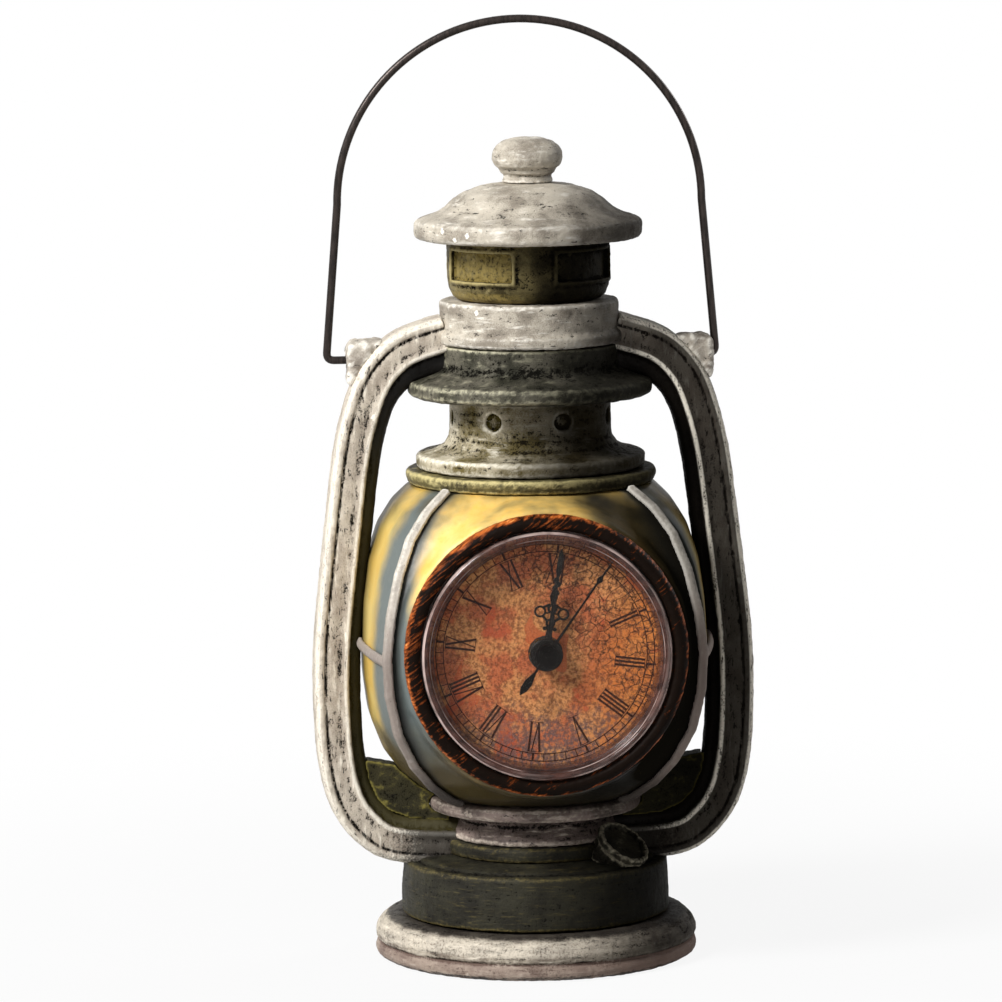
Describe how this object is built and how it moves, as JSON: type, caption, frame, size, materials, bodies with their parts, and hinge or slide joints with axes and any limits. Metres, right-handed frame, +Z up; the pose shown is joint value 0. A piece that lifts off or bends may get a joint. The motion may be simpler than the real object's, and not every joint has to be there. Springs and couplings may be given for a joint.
{
  "type": "oil lamp table clock",
  "caption": "Table clock shaped as an old oil lantern, with a swinging wire bail, a tilted filler cap and a battery quartz clock with a Roman dial in its globe.",
  "frame": {"origin": "middle of the flat underside, on the lantern's upright centre line", "axes": "+Z up, the dial faces -Y, +X to the right of someone who reads the dial"},
  "size_m": [0.1332, 0.104, 0.2839],
  "materials": {
    "silver_casting": "champagne silver brushed over black, worn in the hollows",
    "dark_green_casting": "near-black green with olive dry-brushed edges",
    "olive_casting": "dull olive over dark green",
    "globe_casting": "yellow olive shaded to blue-grey at the ribs",
    "bail_wire": "gunmetal wire, satin",
    "copper_bezel": "copper orange streaked with black",
    "clear_lens": "clear moulded lens with a bevelled rim",
    "dial_paper": "aged mottled paper with a plain printed scale",
    "black_plastic": "fine moulded texture",
    "rubber_washer": "smooth",
    "brass_fittings": "turned",
    "nylon_wheels": "moulded white",
    "spring_steel": "plain sheet",
    "coil_winding": "enamelled wire under varnish",
    "circuit_laminate": "green laminate",
    "battery_can": "plain printed sleeve",
    "black_hands": "satin black"
  },
  "bodies": {
    "lantern": {"foot_ring": "silver_casting", "globe_cup": "silver_casting", "hood_ring": "silver_casting", "cap": "silver_casting", "cap_knob": "silver_casting", "tube_left": "silver_casting", "tube_right": "silver_casting", "ear_left": "silver_casting", "ear_right": "silver_casting", "guard_rib_front_left": "silver_casting", "guard_rib_front_right": "silver_casting", "guard_rib_rear_left": "silver_casting", "guard_rib_rear_right": "silver_casting", "fuel_tank": "dark_green_casting", "burner_collar": "dark_green_casting", "chimney_bell": "dark_green_casting", "hood_flange": "dark_green_casting", "vent_drum": "dark_green_casting", "filler_neck": "dark_green_casting", "filler_cap": "dark_green_casting", "gallery_ring": "olive_casting", "tube_web_left": "olive_casting", "tube_web_right": "olive_casting", "globe_shell": "globe_casting", "bezel_ring": "copper_bezel", "lens": "clear_lens", "dial": "dial_paper", "dial_plate": "black_plastic", "movement_case": "black_plastic", "movement_cover": "black_plastic", "dial_washer": "rubber_washer", "dial_nut": "brass_fittings", "middle_plate": "nylon_wheels", "stator": "spring_steel", "battery_contact_positive": "spring_steel", "battery_contact_negative": "spring_steel", "coil": "coil_winding", "circuit_board": "circuit_laminate"},
    "bail": {"bail": "bail_wire"},
    "battery": {"battery": "battery_can"},
    "second": {"second_wheel": "nylon_wheels", "second_hand": "black_hands"},
    "rotor": {"rotor": "nylon_wheels"},
    "intermediate": {"intermediate_wheel": "nylon_wheels"},
    "third": {"third_wheel": "nylon_wheels"},
    "centre": {"centre_wheel": "nylon_wheels"},
    "minute": {"minute_pipe": "brass_fittings", "minute_hand": "black_hands"},
    "minute_wheel": {"minute_wheel": "nylon_wheels"},
    "hour": {"hour_wheel": "nylon_wheels", "hour_hand": "black_hands"},
    "setting": {"setting_knob": "black_plastic"}
  },
  "joints": [
    {"name": "bail_swing", "type": "hinge", "parent": "lantern", "child": "bail", "pos_m": [0, 0, 0.1814], "axis": [1, 0, 0], "range_deg": [-115, 115]},
    {"name": "battery_slide", "type": "slide", "parent": "lantern", "child": "battery", "axis": [0, 1, 0], "range_m": [0, 0.02]},
    {"name": "second_spin", "type": "hinge", "parent": "lantern", "child": "second", "pos_m": [0, 0, 0.0984], "axis": [0, 1, 0], "continuous": true},
    {"name": "rotor_spin", "type": "hinge", "parent": "lantern", "child": "rotor", "pos_m": [-0.01749, 0, 0.0984], "axis": [0, 1, 0], "continuous": true},
    {"name": "intermediate_spin", "type": "hinge", "parent": "lantern", "child": "intermediate", "pos_m": [-0.01029, 0, 0.0984], "axis": [0, 1, 0], "continuous": true},
    {"name": "third_spin", "type": "hinge", "parent": "lantern", "child": "third", "pos_m": [0.00825, 0, 0.1044], "axis": [0, 1, 0], "continuous": true},
    {"name": "centre_spin", "type": "hinge", "parent": "lantern", "child": "centre", "pos_m": [0, 0, 0.0984], "axis": [0, 1, 0], "continuous": true},
    {"name": "minute_spin", "type": "hinge", "parent": "lantern", "child": "minute", "pos_m": [0, 0, 0.0984], "axis": [0, 1, 0], "continuous": true},
    {"name": "minute_wheel_spin", "type": "hinge", "parent": "lantern", "child": "minute_wheel", "pos_m": [0, 0, 0.1104], "axis": [0, 1, 0], "continuous": true},
    {"name": "hour_spin", "type": "hinge", "parent": "lantern", "child": "hour", "pos_m": [0, 0, 0.0984], "axis": [0, 1, 0], "continuous": true},
    {"name": "setting_spin", "type": "hinge", "parent": "lantern", "child": "setting", "pos_m": [0.01039, 0, 0.1164], "axis": [0, 1, 0], "continuous": true}
  ],
  "couplings": [
    {"joint": "intermediate_spin", "follows": "second_spin", "ratio": -6},
    {"joint": "rotor_spin", "follows": "second_spin", "ratio": 30},
    {"joint": "third_spin", "follows": "second_spin", "ratio": -0.13333},
    {"joint": "centre_spin", "follows": "second_spin", "ratio": 0.016667},
    {"joint": "minute_wheel_spin", "follows": "minute_spin", "ratio": -0.33333},
    {"joint": "hour_spin", "follows": "minute_spin", "ratio": 0.083333},
    {"joint": "setting_spin", "follows": "minute_spin", "ratio": 1}
  ]
}
